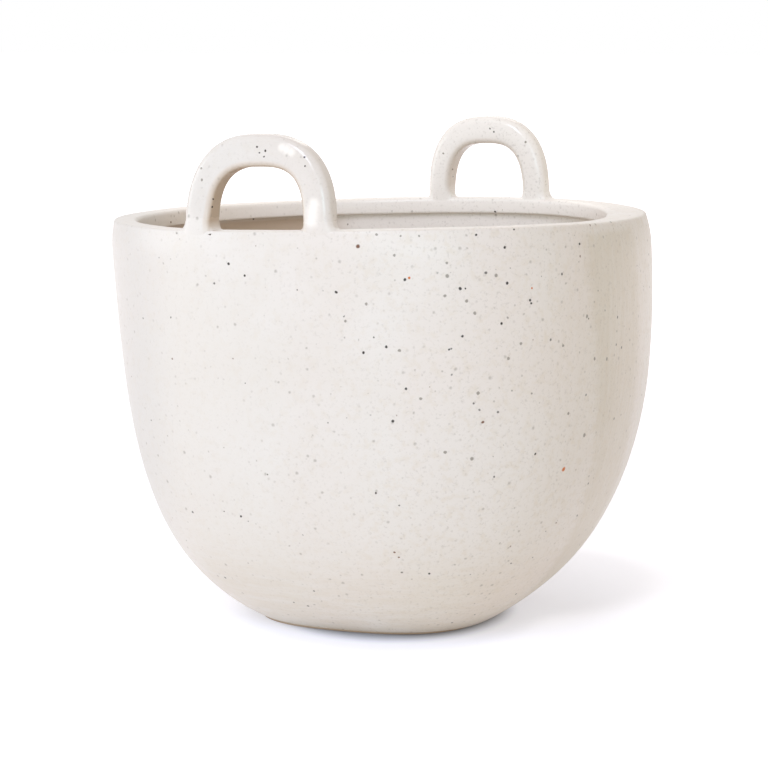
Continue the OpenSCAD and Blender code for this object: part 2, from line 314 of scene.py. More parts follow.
def makeBody():
    bm = bmesh.new()
    within = bm.verts.layers.float.new("within")
    crease = bm.verts.layers.float.new("crease")  # the corner under the lip
    outside, lip, inside = outsideUpToLip(), lipLine(), insideDownToFloor()
    line = outside + lip + inside
    tip = bmesh.ops.create_vert(bm, co=(line[0].x, 0, line[0].y))["vert"][0]
    for count, point in enumerate(line[1:], 1):
        grown = bmesh.ops.extrude_vert_indiv(bm, verts=[tip])
        tip = grown["verts"][0]
        tip.co = (point.x, 0, point.y)
        below = count - len(outside) - len(lip) - creasePoint
        tip[within] = max(0.0, min(1.0, below / 3))
        tip[crease] = max(0.0, min(1.0, 2.0 - abs(below)))
    bmesh.ops.spin(
        bm, geom=bm.verts[:] + bm.edges[:], cent=(0, 0, 0), axis=(0, 0, 1), angle=2 * math.pi,
        steps=pot["turns"], use_merge=True, use_duplicate=False,
    )
    bmesh.ops.remove_doubles(bm, verts=bm.verts, dist=0.004)  # still in millimetres
    for vert in bm.verts:
        turn = math.degrees(math.atan2(vert.co.y, vert.co.x))
        point = Vector((math.hypot(vert.co.x, vert.co.y), vert.co.z))
        vert.co = placed(thickenLip(point, turn), point.y, turn) * mm
    bmesh.ops.recalc_face_normals(bm, faces=bm.faces)
    roughenByHand(bm, pot["unevenness"], pot["evenFoot"], 0.0)
    return finishMesh(bm, "potBowl")


lipSection = lipLine(12, 10)
lipSection = ([Vector((lipOut, pot["rimHeight"] - pot["lipRoundOut"] - bar["wallBlend"]))] + lipSection
              + [Vector((lipIn, pot["rimHeight"] - pot["lipRoundIn"] - bar["innerBlend"]))])
lipWay = [0.0]
for before, after in zip(lipSection, lipSection[1:]):
    lipWay.append(lipWay[-1] + (after - before).length)


def overLip(way):  # a point of the lip's section, so far along it from the outside
    way = max(0.0, min(lipWay[-1], way))
    for k in range(1, len(lipWay)):
        if way <= lipWay[k]:
            share = (way - lipWay[k - 1]) / (lipWay[k] - lipWay[k - 1])
            return lipSection[k - 1].lerp(lipSection[k], share)
    return lipSection[-1]


def wayUnder(depth):  # where the lip's section lies this far out from its middle
    wanted = max(lipIn, min(lipOut, lipMiddle + depth))
    for k in range(2, len(lipSection) - 1):
        if lipSection[k].x <= wanted + 1e-9:
            gap = lipSection[k - 1].x - lipSection[k].x
            share = (lipSection[k - 1].x - wanted) / gap if gap > 1e-9 else 0
            return mix(lipWay[k - 1], lipWay[k], min(1, max(0, share)))
    return lipWay[-2]


def legTurn(handle):
    across = lipMiddle * (1 + pot["corner"] / pot["radius"] * cosd(4 * (handle["dir"] - pot["cornerDir"])))
    return math.degrees(math.asin(handle["span"] / 2 / across)), across


def onLip(handle, side, along, way, sink=0.0):
    leg, across = legTurn(handle)
    turn = handle["dir"] + side * (leg - math.degrees(along / across))
    point = overLip(way)
    return placed(point.x, point.y, turn) - Vector((0, 0, sink))


def archPoint(handle, turn):
    power = 2 / bar["archPower"]
    along = (1 - math.copysign(abs(cosd(turn)) ** power, cosd(turn))) / 2
    rise = handle["rise"] * max(0.0, sind(turn)) ** power
    leg = legTurn(handle)[0]
    first = placed(lipMiddle, pot["rimHeight"], handle["dir"] - leg)
    last = placed(lipMiddle, pot["rimHeight"], handle["dir"] + leg)
    lean = handle["lean"] * rise / handle["rise"]
    return first.lerp(last, along) + Vector((-lean * cosd(handle["dir"]), -lean * sind(handle["dir"]), rise))


def turnAtHeight(handle, height):
    return math.degrees(math.asin((height / handle["rise"]) ** (bar["archPower"] / 2)))


def sectionPoint(phase, halfWidth, halfDepth, outerEdge, innerEdge):  # a rounded bar's outline
    edge = innerEdge if math.cos(phase) > 0 else outerEdge
    x = math.copysign(abs(math.cos(phase)) ** bar["spread"], math.cos(phase)) * halfWidth
    y = math.copysign(abs(math.sin(phase)) ** bar["spread"], math.sin(phase)) * halfDepth
    core = Vector((
        max(edge - halfWidth, min(halfWidth - edge, x)),
        max(edge - halfDepth, min(halfDepth - edge, y)),
    ))
    out = Vector((x, y)) - core
    point = core + out.normalized() * edge if out.length > 1e-6 else core
    return Vector((point.x, point.y * (1 - bar["swell"] * (point.x / halfWidth) ** 2)))


def barRing(handle, turn):
    rise = handle["rise"] * max(0.0, sind(turn)) ** (2 / bar["archPower"])
    way = (archPoint(handle, min(180, turn + 0.5)) - archPoint(handle, max(0, turn - 0.5))).normalized()
    side = -1 if turn < 90 else 1
    faceDir = handle["dir"] + side * legTurn(handle)[0] * max(0, 1 - rise / bar["turnHeight"]) ** 2
    face = Vector((cosd(faceDir), sind(faceDir), 0))
    inward = way.cross(face).normalized()
    halfWidth = mix(handle["legWidth"], handle["crown"], sind(turn) ** 2) / 2
    middle = archPoint(handle, turn)
    ring = []
    for k in range(bar["sectionPoints"]):
        phase = 2 * math.pi * k / bar["sectionPoints"]
        point = sectionPoint(phase, halfWidth, bar["depth"] / 2, bar["outerEdge"], bar["innerEdge"])
        ring.append(middle + inward * point.x + face * point.y)
    return ring


def filletRing(handle, side, legRing, share):  # from the lip's skin to the leg's corner, and up the leg
    half = handle["legWidth"] / 2
    ring = []
    for k, legPoint in enumerate(legRing):
        phase = 2 * math.pi * k / bar["sectionPoints"]
        corner = sectionPoint(phase, half, bar["depth"] / 2, bar["outerEdge"], bar["innerEdge"])
        spread = sectionPoint(phase, half + bar["fillet"], 1.0, bar["footEdge"], bar["footEdge"])
        start = onLip(handle, side, spread.x, mix(lipWay[-1], 0, (spread.y + 1) / 2), bar["sink"])
        middle = onLip(handle, side, corner.x, wayUnder(corner.y), bar["sink"])
        ring.append((1 - share) ** 2 * start + 2 * share * (1 - share) * middle + share**2 * legPoint)
    return ring


def makeLoop(handle):
    low = turnAtHeight(handle, bar["filletHeight"])
    rings = [barRing(handle, mix(low, 180 - low, k / bar["archRings"])) for k in range(bar["archRings"] + 1)]
    shares = [(k / bar["filletRings"]) ** bar["closerAtLip"] for k in range(bar["filletRings"])]
    rings = ([filletRing(handle, -1, rings[0], share) for share in shares] + rings
             + [filletRing(handle, 1, rings[-1], share) for share in reversed(shares)])
    columns, rows = bar["sectionPoints"], len(rings) - 1
    bm = bmesh.new()
    within = bm.verts.layers.float.new("within")
    bmesh.ops.create_grid(bm, x_segments=columns, y_segments=rows, size=1)
    for vert in bm.verts:  # the grid rolls up into a tube
        column = round((vert.co.x + 1) / 2 * columns) % columns
        row = round((vert.co.y + 1) / 2 * rows)
        vert.co = rings[row][column] * mm
        fromEnd = min(1.0, min(row, rows - row) / bar["filletRings"])
        innerSide = max(0.0, min(1.0, 2.2 * cosd(360 * column / columns) - 0.9))  # towards the finger hole
        vert[within] = innerSide * fromEnd
    bmesh.ops.remove_doubles(bm, verts=bm.verts, dist=0.000001)
    bmesh.ops.holes_fill(bm, edges=[edge for edge in bm.edges if edge.is_boundary], sides=0)
    bmesh.ops.recalc_face_normals(bm, faces=bm.faces)
    roughenByHand(bm, hand["loopDepth"], pot["rimHeight"] + hand["loopStart"], handle["seed"])
    return finishMesh(bm, handle["piece"])


def newGroup(name, inputs, outputs):
    group = bpy.data.node_groups.new(name, "ShaderNodeTree")
    for label, kind, value in inputs:
        socket = group.interface.new_socket(name=label, in_out="INPUT", socket_type=kind)
        if value is not None:
            socket.default_value = value
    for label, kind in outputs:
        group.interface.new_socket(name=label, in_out="OUTPUT", socket_type=kind)
    return group, group.nodes.new("NodeGroupInput"), group.nodes.new("NodeGroupOutput")


def addNode(tree, kind, values=None, **settings):
    node = tree.nodes.new(kind)
    for key, value in settings.items():
        setattr(node, key, value)
    for key, value in (values or {}).items():
        node.inputs[key].default_value = value
    return node


def calc(tree, operation, *values):
    node = addNode(tree, "ShaderNodeMath", operation=operation)
    for socket, value in zip(node.inputs, values):
        if isinstance(value, bpy.types.NodeSocket):
            tree.links.new(value, socket)
        else:
            socket.default_value = value
    return node.outputs[0]


def opposite(tree, value):
    return calc(tree, "SUBTRACT", 1.0, value)


def ramp(tree, value, low, high):  # 0 at low, 1 at high, smooth between
    values = {"From Min": low, "From Max": high}
    node = addNode(tree, "ShaderNodeMapRange", values, interpolation_type="SMOOTHSTEP")
    tree.links.new(value, node.inputs["Value"])
    return node.outputs["Result"]


def makeSpeckGroup():  # round grains that the surface cuts through, at any depth
    group, given, result = newGroup(
        "ironSpecks",
        [("Vector", "NodeSocketVector", None), ("Spacing", "NodeSocketFloat", 8.0),
         ("Radius", "NodeSocketFloat", 0.5), ("Share", "NodeSocketFloat", 0.5),
         ("Softness", "NodeSocketFloat", 0.3)],
        [("Mask", "NodeSocketFloat")],
    )
    links = group.links
    cells = addNode(group, "ShaderNodeTexVoronoi", {"Randomness": 1.0})
    links.new(given.outputs["Vector"], cells.inputs["Vector"])
    links.new(calc(group, "DIVIDE", 1000.0, given.outputs["Spacing"]), cells.inputs["Scale"])
    split = addNode(group, "ShaderNodeSeparateColor")
    links.new(cells.outputs["Color"], split.inputs["Color"])
    size = calc(group, "MULTIPLY_ADD", split.outputs["Green"], 0.6, 0.4)  # from 0.4 to 1 of the radius
    reach = calc(group, "DIVIDE", given.outputs["Radius"], given.outputs["Spacing"])
    reach = calc(group, "MULTIPLY", size, reach)
    falling = {"From Max": 1.0, "To Min": 1.0, "To Max": 0.0}
    edge = addNode(group, "ShaderNodeMapRange", falling, interpolation_type="SMOOTHSTEP")
    links.new(calc(group, "DIVIDE", cells.outputs["Distance"], reach), edge.inputs["Value"])
    links.new(calc(group, "SUBTRACT", 1.0, given.outputs["Softness"]), edge.inputs["From Min"])
    chosen = calc(group, "LESS_THAN", split.outputs["Red"], given.outputs["Share"])
    links.new(calc(group, "MULTIPLY", edge.outputs["Result"], chosen), result.inputs["Mask"])
    return group


def makeMarkGroup():  # one speck at a chosen place
    group, given, result = newGroup(
        "oneSpeck",
        [("Vector", "NodeSocketVector", None), ("Place", "NodeSocketVector", None),
         ("Radius", "NodeSocketFloat", 0.5), ("Softness", "NodeSocketFloat", 0.4)],
        [("Mask", "NodeSocketFloat")],
    )
    away = addNode(group, "ShaderNodeVectorMath", operation="DISTANCE")
    group.links.new(given.outputs["Vector"], away.inputs[0])
    group.links.new(given.outputs["Place"], away.inputs[1])
    reach = calc(group, "MULTIPLY", away.outputs["Value"], 1000.0)  # in millimetres
    reach = calc(group, "DIVIDE", reach, given.outputs["Radius"])
    falling = {"From Max": 1.15, "To Min": 1.0, "To Max": 0.0}
    edge = addNode(group, "ShaderNodeMapRange", falling, interpolation_type="SMOOTHSTEP")
    group.links.new(reach, edge.inputs["Value"])
    group.links.new(calc(group, "SUBTRACT", 1.0, given.outputs["Softness"]), edge.inputs["From Min"])
    group.links.new(edge.outputs["Result"], result.inputs["Mask"])
    return group


def placeGroup(tree, group, vector, values):
    node = addNode(tree, "ShaderNodeGroup", node_tree=group)
    for key, value in values.items():
        if isinstance(value, bpy.types.NodeSocket):
            tree.links.new(value, node.inputs[key])
        else:
            node.inputs[key].default_value = value
    tree.links.new(vector, node.inputs["Vector"])
    return node


def tint(tree, base, mask, colour, strength=1.0):
    node = addNode(tree, "ShaderNodeMix", data_type="RGBA")
    amount = calc(tree, "MULTIPLY", mask, strength) if strength != 1.0 else mask
    tree.links.new(amount, node.inputs["Factor"])
    for socket, value in ((node.inputs[6], base), (node.inputs[7], colour)):
        if isinstance(value, bpy.types.NodeSocket):
            tree.links.new(value, socket)
        else:
            socket.default_value = (*value, 1)
    return node.outputs[2]


glaze = {
    "cream": (0.80, 0.785, 0.76),
    "pinkish": (0.80, 0.762, 0.735),
    # milky patches in the glaze; the same colour paints light on a belt over the base
    "milkyAndPaintedLight": (0.83, 0.825, 0.815),
    "thinAndShaded": (0.71, 0.65, 0.555),  # thin glaze where it was wiped, in streaks and mottling; its darkening on the right side and round the base is also painted shade
    "paintedLight": (0.95, 0.935, 0.91),  # painted light: whiter on the far lip, the far handle and inside, and painted highlights on the near handle
    "inner": (0.55, 0.44, 0.335),  # painted shade: brown inside on the left, deeper inside, in the crease under the lip and on the handles' inner sides
    "paintedShadeOlive": (0.64, 0.595, 0.49),  # painted shade: a darker band down the right side
    "shadowed": (0.70, 0.685, 0.665),  # the near handle
    "paintedShadeLeft": (0.69, 0.70, 0.70),  # painted shade: darker and cooler on the left side
    "clay": (0.42, 0.31, 0.22),
    "darkSpeck": (0.03, 0.025, 0.022),
    "greySpeck": (0.34, 0.32, 0.29),
    "rustSpeck": (0.17, 0.075, 0.04),
    "orangeSpeck": (0.58, 0.15, 0.008),
    "roughness": 0.36,
    "loopRoughness": 0.18,
    "clayRoughness": 0.85,
    "unevenGloss": 0.14,
    "bumpDepth": 0.00012,
    "bumpStrength": 0.45,
    "bumpMottle": 0.8,  # the mottling's relief, where a dark speck's is 1
    "speckRaggedness": 0.0005,
    "raggedScale": 900.0,
}

# the glaze's noises: how they are drawn out along each axis, how fine they are, and their detail
noises = {
    "clouds": ((1, 1, 1), 24, 3.0),
    "blush": ((1, 1, 0.4), 17, 1.0),
    "mottle": ((1, 1, 1), 330, 3.0),
    "grain": ((1, 1, 1), 900, 2.0),
    "brushed": ((1, 1, 9), 60, 3.0),
    "wiped": ((1, 1, 0.09), 420, 3.0),
}

# the part of a noise over which a coat comes in
comesIn = {
    "clouds": (0.42, 0.68),
    "blush": (0.46, 0.66),
    "brushedAndShadedBase": (0.28, 0.66),
    "wipedAndShadedRight": (0.15, 0.85),
    "paintedShadeBand": (-0.3, 0.7),
    "mottle": (0.46, 0.74),
    "grain": (0.52, 0.8),
    "crowd": (0.35, 0.62),
}

# the coats in the order in which they lie: the colour, and how much it hides what is under it
coats = {
    "clouds": ("milkyAndPaintedLight", 0.8),
    "blush": ("pinkish", 0.8),
    # painted light: a lighter belt over the base
    "paintedLightBelt": ("milkyAndPaintedLight", 0.5),
    # painted shade: darker and cooler on the left side
    "leftSide": ("paintedShadeLeft", 0.6),
    # streaks round the base, partly painted shade
    "brushedAndShadedBase": ("thinAndShaded", 0.38),
    # painted shade on the right of the base
    "shadedRightOfBase": ("thinAndShaded", 0.38),
    # wiped streaks on the right, partly painted shade
    "wipedAndShadedRight": ("thinAndShaded", 0.25),
    # painted shade: a darker band down the right side
    "paintedShadeBand": ("paintedShadeOlive", 0.5),
    "mottle": ("thinAndShaded", 0.36),
    # painted light on the far lip and the far handle
    "farLip": ("paintedLight", 1.0),
    "nearLoop": ("shadowed", 0.35),
    # painted light: whiter inside
    "inside": ("paintedLight", 0.95),
    # painted shade inside, on the left, further down and on the handles' inner sides
    "paintedShadeInside": ("inner", 0.95),
    # painted shade in the crease under the lip
    "crease": ("inner", 0.6),
    "grain": ("greySpeck", 0.28),
}
clayCover = 0.9  # on the bare foot
insideShadeShare = {"deep": 0.35, "loops": 0.6}  # of the painted shade, far down inside and on the handles' inner sides
calmShare = 0.4  # of the mottling and the grain, on the left of the photo

# where a zone starts and is full, in metres: heights first, then ways out in a direction
zones = {
    "base": (0.004, 0.05),  # upside down, full at the foot
    "glazed": (0.00045, 0.0011),  # bare clay below
    "overBase": (0.022, 0.036),
    "middle": (0.075, 0.105),
    "nearMouth": (0.08, 0.125),
    "lip": (0.138, 0.1445),
    "loops": (0.1505, 0.156),
    "far": (0.0, 0.05),
    "leftSide": (0.068, 0.09),
    "right": (0.062, 0.104),
    "shadedRightOfBase": (0.01, 0.045),
    "insideLeft": (0.008, 0.034),
    "crowd": (0.02, 0.08),
    "busy": (-0.06, 0.04),
}
zoneDir = {
    "far": 117.5, "leftSide": 207.5, "right": 5, "shadedRightOfBase": 10,
    "insideLeft": 207.5, "crowd": -20, "busy": 27.5,
}

# where the painted shade down the right side lies
paintedShadeBand = {
    "start": (-0.37, -0.27),  # bearings, in radians
    "end": (0.05, 0.17),
    "top": (0.1455, 0.1485),
    "slant": 1.7,  # radians for each metre of height
    "slantFrom": 0.137,
    "ragged": 0.1,
}

# scattered specks, in millimetres: a share of the places has one, and more where they crowd
scattered = {
    "faint": {
        "spacing": 3.0, "radius": 0.85, "softness": 0.9, "least": 0.7, "more": 0.0,
        "colour": "greySpeck", "cover": 0.27,
    },
    "medium": {
        "spacing": 3.8, "radius": 0.95, "softness": 0.85, "least": 0.3, "more": 0.55,
        "colour": "greySpeck", "cover": 0.58,
    },
    "dark": {
        "spacing": 5.0, "radius": 0.72, "softness": 0.65, "least": 0.14, "more": 0.65,
        "colour": "darkSpeck", "cover": 0.86,
    },
    "rust": {
        "spacing": 9.0, "radius": 0.62, "softness": 0.6, "least": 0.14, "more": 0.65,
        "colour": "rustSpeck", "cover": 0.8,
    },
}
edgeSoftness = {"speck": 0.4, "paintedHighlight": 0.8}


def flow(tree, place, stretch, scale, detail):  # noise drawn out along an axis
    mapping = addNode(tree, "ShaderNodeMapping", {"Scale": stretch})
    tree.links.new(place, mapping.inputs["Vector"])
    values = {"Scale": scale, "Detail": detail, "Roughness": 0.6}
    streak = addNode(tree, "ShaderNodeTexNoise", values)
    tree.links.new(mapping.outputs[0], streak.inputs["Vector"])
    return streak.outputs["Fac"]


def toward(tree, place, turn):  # how far a point lies out in this direction, in metres
    node = addNode(tree, "ShaderNodeVectorMath", operation="DOT_PRODUCT")
    tree.links.new(place, node.inputs[0])
    node.inputs[1].default_value = (cosd(turn), sind(turn), 0)
    return node.outputs["Value"]


# specks that catch the eye: where they are in the photo, in pixels from its top left, and their radius
eyeCatchers = {
    "orangeSpeck": {
        "right, low": (563.6, 469.3, 0.95),
        "middle, high": (409.1, 277.9, 0.48),
        "far right, high": (532.1, 288.2, 0.4),
    },
    "rustSpeck": {
        "under the handle": (357.9, 246.4, 0.78),
        "middle": (482.8, 422.3, 0.57),
        "low": (394.5, 552.3, 0.48),
        "low, small": (398.9, 557.4, 0.41),
        "in the mouth, left": (170.9, 222.3, 0.57),
    },
    "darkSpeck": {
        "left, high": (228.6, 263.9, 0.57),
        "left, lower": (244.5, 275.7, 0.48),
        "beside the orange": (405.0, 279.8, 0.55),
        "right of the middle": (460.0, 288.8, 0.63),
        "its small neighbour": (465.2, 288.4, 0.37),
        "pair, upper": (530.2, 300.2, 0.48),
        "pair, lower": (531.3, 303.2, 0.48),
        "under the rim, right": (579.5, 243.6, 0.53),
        "under the far handle": (504.8, 247.5, 0.51),
        "upper middle": (386.3, 346.7, 0.53),
        "upper right": (462.4, 336.3, 0.48),
        "centre": (406.0, 388.8, 0.55),
        "centre, lower": (392.8, 421.2, 0.57),
        "low right": (535.2, 454.0, 0.51),
        "low, beside the middle": (375.9, 493.1, 0.48),
        "low left": (241.1, 516.3, 0.53),
        "near the foot": (429.2, 573.7, 0.51),
        "near the foot, right": (516.0, 594.1, 0.46),
        "far lip": (495.4, 211.8, 0.52),
        "lip, left": (253.6, 218.7, 0.52),
        "handle, inside": (212.2, 207.0, 0.48),
        "handle, inside higher": (213.2, 199.2, 0.39),
        "handle, crown": (257.0, 147.0, 0.41),
        "handle, crown's second": (265.3, 150.7, 0.44),
        "handle, crown's third": (259.2, 152.7, 0.32),
        "handle, crown's lowest": (264.0, 156.5, 0.36),
        "handle, shoulder": (304.5, 157.0, 0.44),
        "handle, under the shoulder": (305.0, 166.0, 0.36),
        "far handle, crown": (490.0, 128.5, 0.36),
        "far handle, crown's second": (494.0, 131.7, 0.4),
        "far handle, inside": (453.0, 176.5, 0.34),
        "far handle, inside higher": (452.6, 169.3, 0.36),
        "under the rim, middle": (476.0, 235.0, 0.46),
        "under the rim, by the far handle": (514.0, 229.5, 0.36),
        "left of the middle": (336.4, 292.1, 0.52),
        "high, right": (507.1, 283.2, 0.52),
        "middle, right": (501.6, 323.6, 0.5),
        "beside the centre, high": (363.5, 352.8, 0.5),
        "over the middle, right": (449.0, 349.5, 0.42),
    },
    # painted highlights on the near handle, in the whiter colour
    "paintedLight": {
        "painted highlight on the near leg": (314.0, 204.0, 2.7),
        "painted highlight, lower": (312.5, 212.0, 3.2),
        "painted highlight over the lip": (311.5, 221.0, 3.0),
        "painted highlight on the near leg, between": (313.2, 208.0, 2.9),
        "painted highlight on the near leg, low": (312.0, 216.5, 3.1),
        "painted highlight on the near crown": (282.0, 147.5, 2.0),
        "near crown, beside it": (286.5, 149.5, 2.3),
        "near crown, further down": (291.0, 152.0, 2.1),
    },
    "greySpeck": {
        "far handle, shoulder": (525.4, 142.0, 0.5),
        "far handle, leg": (443.3, 153.3, 0.45),
        "near handle, shoulder": (201.2, 168.3, 0.45),
        "near handle, leg": (201.8, 180.0, 0.5),
        "under the rim, first": (376.7, 234.7, 0.5),
        "under the rim, second": (400.7, 236.0, 0.42),
        "under the rim, third": (419.0, 236.0, 0.45),
        "on the rim, near": (347.7, 224.5, 0.42),
        "high, over the pair": (446.7, 262.8, 0.5),
        "high, left of it": (394.3, 255.3, 0.55),
        "high, beside the pair": (447.3, 276.0, 0.75),
        "high, second": (496.2, 275.4, 0.6),
        "high, third": (445.0, 295.8, 0.6),
        "high, left": (366.2, 304.0, 0.6),
        "high, far left": (345.4, 321.2, 0.55),
        "upper right, first": (466.5, 301.0, 0.65),
        "upper right, second": (474.8, 313.2, 0.6),
        "centre, left": (399.4, 350.4, 0.6),
        "centre, low": (420.8, 398.8, 0.6),
        "right, first": (521.0, 343.6, 0.6),
        "right, second": (508.4, 358.4, 0.65),
        "right, third": (563.0, 345.8, 0.6),
        "band, first": (594.6, 358.8, 0.7),
        "band, second": (606.8, 359.0, 0.7),
        "band, high": (587.0, 316.4, 0.75),
        "band, low": (584.3, 435.0, 0.9),
        "low, first": (478.2, 393.0, 0.65),
        "low, second": (471.9, 458.8, 0.75),
        "low, third": (445.2, 452.3, 0.65),
        "low, fourth": (568.4, 413.4, 0.65),
    },
}


def seenAt(pieces, x, y):  # the point of the pot that the photo shows at this pixel
    camera = scene.camera
    focal = camera.data.lens / camera.data.sensor_width * studio["photoSide"]
    ray = Vector((x - studio["photoSide"] / 2, studio["photoSide"] / 2 - y, -focal))
    ray = (camera.matrix_world.to_quaternion() @ ray).normalized()
    hits = []
    for piece in pieces:
        found, place, normal, face = piece.ray_cast(camera.location, ray)
        if found:
            hits.append(place)
    return min(hits, key=lambda place: (place - camera.location).length)


def zone(tree, place, name):
    return ramp(tree, toward(tree, place, zoneDir[name]), *zones[name])


def bend(tree, place):  # so that specks aren't quite round
    ragged = addNode(tree, "ShaderNodeTexNoise", {"Scale": glaze["raggedScale"], "Detail": 1.0})
    tree.links.new(place, ragged.inputs["Vector"])
    middle = addNode(tree, "ShaderNodeVectorMath", operation="SUBTRACT")
    tree.links.new(place, middle.inputs[0])
    middle.inputs[1].default_value = (glaze["speckRaggedness"] / 2,) * 3
    bent = addNode(tree, "ShaderNodeVectorMath", operation="MULTIPLY_ADD")
    tree.links.new(ragged.outputs["Color"], bent.inputs[0])
    bent.inputs[1].default_value = (glaze["speckRaggedness"],) * 3
    tree.links.new(middle.outputs[0], bent.inputs[2])
    return bent.outputs[0]


# painted shade: a band down the right side, made ragged by the brushed and wiped noises
def makePaintedShadeBand(tree, split, brushed, wiped):
    height = split.outputs["Z"]
    bearing = calc(tree, "ARCTAN2", split.outputs["Y"], split.outputs["X"])
    ragged = calc(tree, "SUBTRACT", brushed, 0.5)
    bearing = calc(tree, "ADD", bearing, calc(tree, "MULTIPLY", ragged, paintedShadeBand["ragged"]))
    slant = calc(tree, "SUBTRACT", height, paintedShadeBand["slantFrom"])
    bearing = calc(tree, "ADD", bearing, calc(tree, "MULTIPLY", slant, paintedShadeBand["slant"]))
    band = ramp(tree, bearing, *paintedShadeBand["start"])
    band = calc(tree, "SUBTRACT", band, ramp(tree, bearing, *paintedShadeBand["end"]))
    band = calc(tree, "MULTIPLY", band, opposite(tree, ramp(tree, height, *paintedShadeBand["top"])))
    return calc(tree, "MULTIPLY", band, ramp(tree, wiped, *comesIn["paintedShadeBand"]))


def mapCoats(tree, place, split, flows):  # where each coat lies, from 0 to 1
    height = split.outputs["Z"]
    low = opposite(tree, ramp(tree, height, *zones["base"]))
    far = zone(tree, place, "far")
    onLoops = ramp(tree, height, *zones["loops"])
    busy = calc(tree, "MULTIPLY_ADD", zone(tree, place, "busy"), 1 - calmShare, calmShare)
    belowMiddle = opposite(tree, ramp(tree, height, *zones["middle"]))
    # inside: painted shade, brown, on the left near the mouth; painted light, whiter, on the right; in
    # between further down
    within = addNode(tree, "ShaderNodeAttribute", attribute_name="within").outputs["Fac"]
    insideShade = calc(tree, "SUBTRACT", zone(tree, place, "insideLeft"), insideShadeShare["deep"])
    insideShade = calc(tree, "MULTIPLY", insideShade, ramp(tree, height, *zones["nearMouth"]))
    insideShade = calc(tree, "ADD", insideShade, insideShadeShare["deep"])
    insideShade = calc(tree, "MAXIMUM", insideShade, calc(tree, "MULTIPLY", onLoops, insideShadeShare["loops"]))
    crease = addNode(tree, "ShaderNodeAttribute", attribute_name="crease").outputs["Fac"]
    masks = {
        "clouds": ramp(tree, flows["clouds"], *comesIn["clouds"]),
        "blush": ramp(tree, flows["blush"], *comesIn["blush"]),
        "paintedLightBelt": calc(tree, "MULTIPLY", belowMiddle, ramp(tree, height, *zones["overBase"])),
        "leftSide": zone(tree, place, "leftSide"),
        "paintedShadeBand": makePaintedShadeBand(tree, split, flows["brushed"], flows["wiped"]),
        "inside": within,
        "paintedShadeInside": calc(tree, "MULTIPLY", within, insideShade),
        "crease": crease,
        "base": low,
        "loops": onLoops,
    }
    # painted shade on the right of the base
    masks["shadedRightOfBase"] = calc(tree, "MULTIPLY", low, zone(tree, place, "shadedRightOfBase"))
    # painted light on the far side, from the lip up
    masks["farLip"] = calc(tree, "MULTIPLY", far, ramp(tree, height, *zones["lip"]))
    masks["nearLoop"] = calc(tree, "MULTIPLY", onLoops, opposite(tree, far))
    noisy = {
        "brushedAndShadedBase": ("brushed", low), "wipedAndShadedRight": ("wiped", zone(tree, place, "right")),
        "mottle": ("mottle", busy), "grain": ("grain", busy),
    }
    for name, (noiseName, where) in noisy.items():
        masks[name] = calc(tree, "MULTIPLY", where, ramp(tree, flows[noiseName], *comesIn[name]))
    return masks


def scatterSpecks(tree, colour, bent, crowd):
    group = makeSpeckGroup()
    found = {}
    for name, speck in scattered.items():
        share = calc(tree, "MULTIPLY_ADD", crowd, speck["more"], speck["least"])
        values = {key: speck[key.lower()] for key in ("Spacing", "Radius", "Softness")}
        found[name] = placeGroup(tree, group, bent, {**values, "Share": share}).outputs["Mask"]
        colour = tint(tree, colour, found[name], glaze[speck["colour"]], speck["cover"])
    return colour, found["dark"]


def placeEyeCatchers(tree, colour, bent, pieces):
    group = makeMarkGroup()
    for kind, places in eyeCatchers.items():
        mask = 0.0
        softness = edgeSoftness["paintedHighlight" if kind == "paintedLight" else "speck"]
        for x, y, radius in places.values():
            values = {"Place": seenAt(pieces, x, y), "Radius": radius, "Softness": softness}
            mask = calc(tree, "MAXIMUM", mask, placeGroup(tree, group, bent, values).outputs["Mask"])
        colour = tint(tree, colour, mask, glaze[kind])
    return colour


def makeGlaze(pieces):
    material = bpy.data.materials.new("speckledGlaze")
    material.use_nodes = True
    tree = material.node_tree
    shader = tree.nodes["Principled BSDF"]
    place = addNode(tree, "ShaderNodeTexCoord").outputs["Object"]
    split = addNode(tree, "ShaderNodeSeparateXYZ")
    tree.links.new(place, split.inputs[0])
    bent = bend(tree, place)
    flows = {name: flow(tree, place, *values) for name, values in noises.items()}
    colour = glaze["cream"]
    masks = mapCoats(tree, place, split, flows)
    for name, (pigment, hides) in coats.items():
        colour = tint(tree, colour, masks[name], glaze[pigment], hides)
    crowd = calc(tree, "MAXIMUM", zone(tree, place, "crowd"), masks["base"])
    crowd = calc(tree, "MULTIPLY", crowd, ramp(tree, flows["clouds"], *comesIn["crowd"]))
    colour, raised = scatterSpecks(tree, colour, bent, crowd)
    colour = placeEyeCatchers(tree, colour, bent, pieces)
    bare = opposite(tree, ramp(tree, split.outputs["Z"], *zones["glazed"]))
    colour = tint(tree, colour, bare, glaze["clay"], clayCover)
    tree.links.new(colour, shader.inputs["Base Color"])
    smoother = glaze["loopRoughness"] - glaze["roughness"]
    rough = calc(tree, "MULTIPLY_ADD", masks["loops"], smoother, glaze["roughness"])
    uneven = calc(tree, "MULTIPLY", calc(tree, "SUBTRACT", flows["mottle"], 0.5), glaze["unevenGloss"])
    rough = tint(tree, calc(tree, "ADD", rough, uneven), bare, (glaze["clayRoughness"],) * 3)
    tree.links.new(rough, shader.inputs["Roughness"])
    values = {"Strength": glaze["bumpStrength"], "Distance": glaze["bumpDepth"]}
    bump = addNode(tree, "ShaderNodeBump", values)
    relief = calc(tree, "MULTIPLY_ADD", flows["mottle"], glaze["bumpMottle"], raised)
    tree.links.new(relief, bump.inputs["Height"])
    tree.links.new(bump.outputs["Normal"], shader.inputs["Normal"])
    return material


